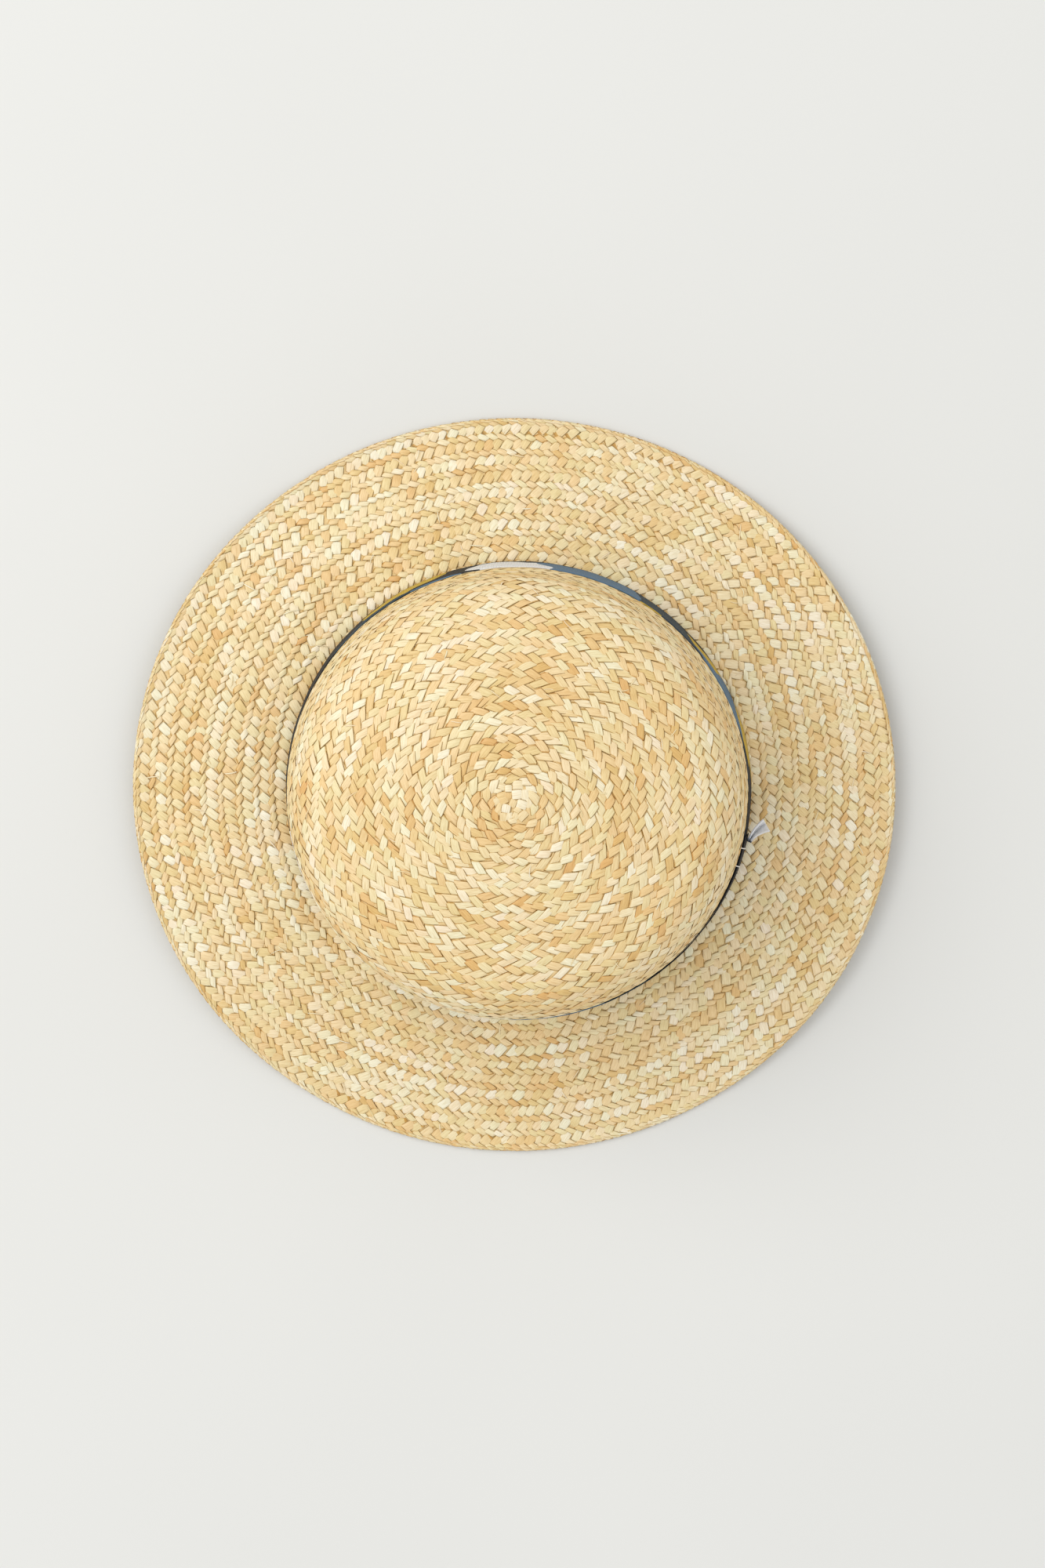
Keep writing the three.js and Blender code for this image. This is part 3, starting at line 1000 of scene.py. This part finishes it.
# %% Ribbon: loose end
TAIL_ANGLE = np.radians(-12.4)  # where the end leaves the band
TAIL_FLAT = (24.0, 10.5)  # the end laid flat: its width and its length
TAIL_INSET = 0.9  # of the inner face's wings
TAIL = {
    # share of the way to the free end, distances along the band and out from it, half the spread of the
    # wings, and the heights of the fold and of the wings' upper edges over the brim's joint
    "step": [0.0, 0.4, 0.74, 1.0],
    "along": [0.0, 3.2, 6.0, 8.2],
    "out": [0.0, 1.2, 3.2, 5.4],
    "spread": [1.0, 1.4, 2.2, 2.9],
    "fold": [6.0, 6.5, 7.0, 8.0],
    "edge": [18.0, 18.3, 18.5, 18.8],
}


def smooth_row(step, key):
    """A row of the tail's table as a smooth curve: the cubic through its four numbers."""
    return np.polyval(np.polyfit(TAIL["step"], TAIL[key], 3), step)


def tail_grid(step, across, inset):
    """Points of the tail. At a step along it, the V runs from one wing's edge (across -1) over the fold (0)
    to the other (+1), and the inset moves both wings towards its middle."""
    outwards = np.array([np.cos(TAIL_ANGLE), np.sin(TAIL_ANGLE)])
    onwards = np.array([-np.sin(TAIL_ANGLE), np.cos(TAIL_ANGLE)])
    spread, fold, edge = (smooth_row(step, key) for key in ("spread", "fold", "edge"))
    lean = smooth_row(step + 0.01, "out") - smooth_row(step, "out")
    run = smooth_row(step + 0.01, "along") - smooth_row(step, "along")
    facing = np.stack([run, lean], -1) / np.hypot(run, lean)[..., None]
    sideways = facing[..., :1] * outwards - facing[..., 1:] * onwards
    edge_z = brim_high[2] + TAIL["edge"][0]
    stand_off = band_stand_off(TAIL_ANGLE + 2 * np.pi) + EASE + CLOTH + GAP + TAIL["spread"][0]
    root = crown_outside(TAIL_ANGLE, wall_down(edge_z), stand_off)[:2]
    inner = spread - inset
    keel = edge - (edge - fold) * inner / spread
    along, out = (smooth_row(step, key)[..., None] for key in ("along", "out"))
    plan = root + along * onwards + out * outwards + (inner * across)[..., None] * sideways
    height = brim_high[2] + keel + (edge - keel) * np.abs(across) ** 1.2
    return np.concatenate([plan, height[..., None]], axis=-1)


tail_step, tail_across = np.meshgrid(np.linspace(0, 1, 18), np.linspace(1, -1, 15), indexing="ij")
tail_map = np.stack([tail_step * TAIL_FLAT[1], (tail_across + 1) * TAIL_FLAT[0] / 2], -1)
tail_outside, tail_inside = (tail_grid(tail_step, tail_across, inset) for inset in (0.0, TAIL_INSET))
tail = flat_strip("ribbon_tail", tail_outside, tail_inside, tail_map, end_finish, rows=1)

# %% [markdown]
# ## The stitches
#
# Two white thread stitches hold the lap of the ribbon. Each is a short round tube on a path that starts on
# the ribbon, climbs over its upper edge and goes into the straw above.

# %% Stitches
COTTON = [(0.3, (214, 210, 200)), (0.7, (244, 242, 236))]
thread_finish = mottled_finish("cotton_thread", 0.8, 2500.0, 2.0, COTTON)

THREAD = 0.22  # radius of the thread
TUBE_RINGS, TUBE_SIDES = 16, 8
STITCH_ANGLES = np.radians([-14.0, -18.7])
STITCH = {"height": [-3.4, -1.6, 0.0, 0.5, 1.4, 2.6], "out": [0.75, 1.0, 1.05, 0.7, 0.3, -0.3]}


def stitch_tube(angle):
    """A tube round a path that lies in the plane of one angle. The table gives heights over the ribbon's
    upper edge, and distances out from the ribbon's inner face below that edge and from the crown above it."""
    share = np.linspace(0, 5, TUBE_RINGS)
    height = band_high[2] + np.interp(share, range(6), STITCH["height"])
    out = np.interp(share, range(6), STITCH["out"])
    out = out + band_stand_off(angle + 2 * np.pi) * smoothstep(-share, -3.6, -2.4)
    path = crown_outside(angle, wall_down(height), out)
    ahead = np.gradient(path, axis=0)
    side = np.array([-np.sin(angle), np.cos(angle), 0])
    normal = np.cross(ahead, side)
    normal = normal / np.linalg.norm(normal, axis=-1, keepdims=True)
    turn = np.linspace(0, 2 * np.pi, TUBE_SIDES, endpoint=False)[None, :, None]
    return path[:, None] + THREAD * (np.cos(turn) * side + np.sin(turn) * normal[:, None])


tubes = np.stack([stitch_tube(angle) for angle in STITCH_ANGLES])
tube_starts = np.arange(len(tubes)) * TUBE_RINGS * TUBE_SIDES
one_tube = ring_quads(TUBE_RINGS, TUBE_SIDES, False)[:, ::-1]
tube_quads = np.concatenate([one_tube + start for start in tube_starts])
tube_ends = np.arange(TUBE_SIDES), np.arange(TUBE_SIDES)[::-1] + (TUBE_RINGS - 1) * TUBE_SIDES
tube_caps = [cap + start for start in tube_starts for cap in tube_ends]
add_piece("band_stitches", tubes, tube_quads, thread_finish, tube_caps)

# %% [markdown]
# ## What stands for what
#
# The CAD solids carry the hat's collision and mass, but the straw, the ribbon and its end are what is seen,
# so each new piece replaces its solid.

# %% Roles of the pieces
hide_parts("crown")
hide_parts("brim")
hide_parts("hat_band")
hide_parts("band_tail")

# %% [markdown]
# ## Table, light and camera
#
# The hat lies on a pale matt table in soft daylight from the upper left. A bright even sky does most of the
# lighting and one large soft lamp adds the direction. The camera looks almost straight down.

# %% Table
TABLE_HALF = 40.0  # half the table's side in metres, so that no horizon shows
table_finish = mottled_finish("pale_table", 0.9, 3.0, 2.0, [(0.3, (220, 220, 216)), (0.7, (223, 223, 219))])
table_mesh = bpy.data.meshes.new("table")
corners = [(x * TABLE_HALF, y * TABLE_HALF, 0) for x, y in ((-1, -1), (1, -1), (1, 1), (-1, 1))]
table_mesh.from_pydata(corners, [], [(0, 1, 2, 3)])
table_mesh.materials.append(table_finish)
table = bpy.data.objects.new("table", table_mesh)
bpy.context.scene.collection.objects.link(table)

# %% Light
world = bpy.data.worlds.new("soft_sky")
world.use_nodes = True
sky = world.node_tree.nodes["Background"]
sky.inputs["Color"].default_value = (0.985, 0.99, 1.0, 1.0)
sky.inputs["Strength"].default_value = 0.89
bpy.context.scene.world = world
bpy.context.scene.view_settings.view_transform = "Standard"

lamp = bpy.data.objects.new("window", bpy.data.lights.new("window", "AREA"))
lamp.data.shape, lamp.data.size, lamp.data.energy = "DISK", 2.4, 27.0
lamp.data.color = (1.0, 0.985, 0.96)
lamp.location = Vector((-1.5, 0.8, 1.9))
lamp.rotation_euler = lamp.location.to_track_quat("Z", "Y").to_euler()
bpy.context.scene.collection.objects.link(lamp)
print("lamp:", lamp.data.energy, "W")

# %% Camera
AIM = Vector((3.49, 1.03, 0.0)) * MM  # the middle of the picture on the table
TILT = np.radians([1.15, 3.5])  # lean of the camera's line from the vertical, along X and along Y
DISTANCE = 1.5  # from the table, in metres
back = Vector((np.tan(TILT[0]), np.tan(TILT[1]), 1.0)).normalized()
right = Vector((0, 1, 0)).cross(back).normalized()
camera = bpy.data.objects.new("camera", bpy.data.cameras.new("camera"))
camera.data.lens = 84.5
camera.data.clip_start = 0.01
turned = Matrix([right, back.cross(right), back]).transposed()
camera.matrix_world = Matrix.LocRotScale(AIM + DISTANCE * back, turned.to_quaternion(), None)
bpy.context.scene.collection.objects.link(camera)
bpy.context.scene.camera = camera
print("camera:", camera.data.lens, "mm lens")
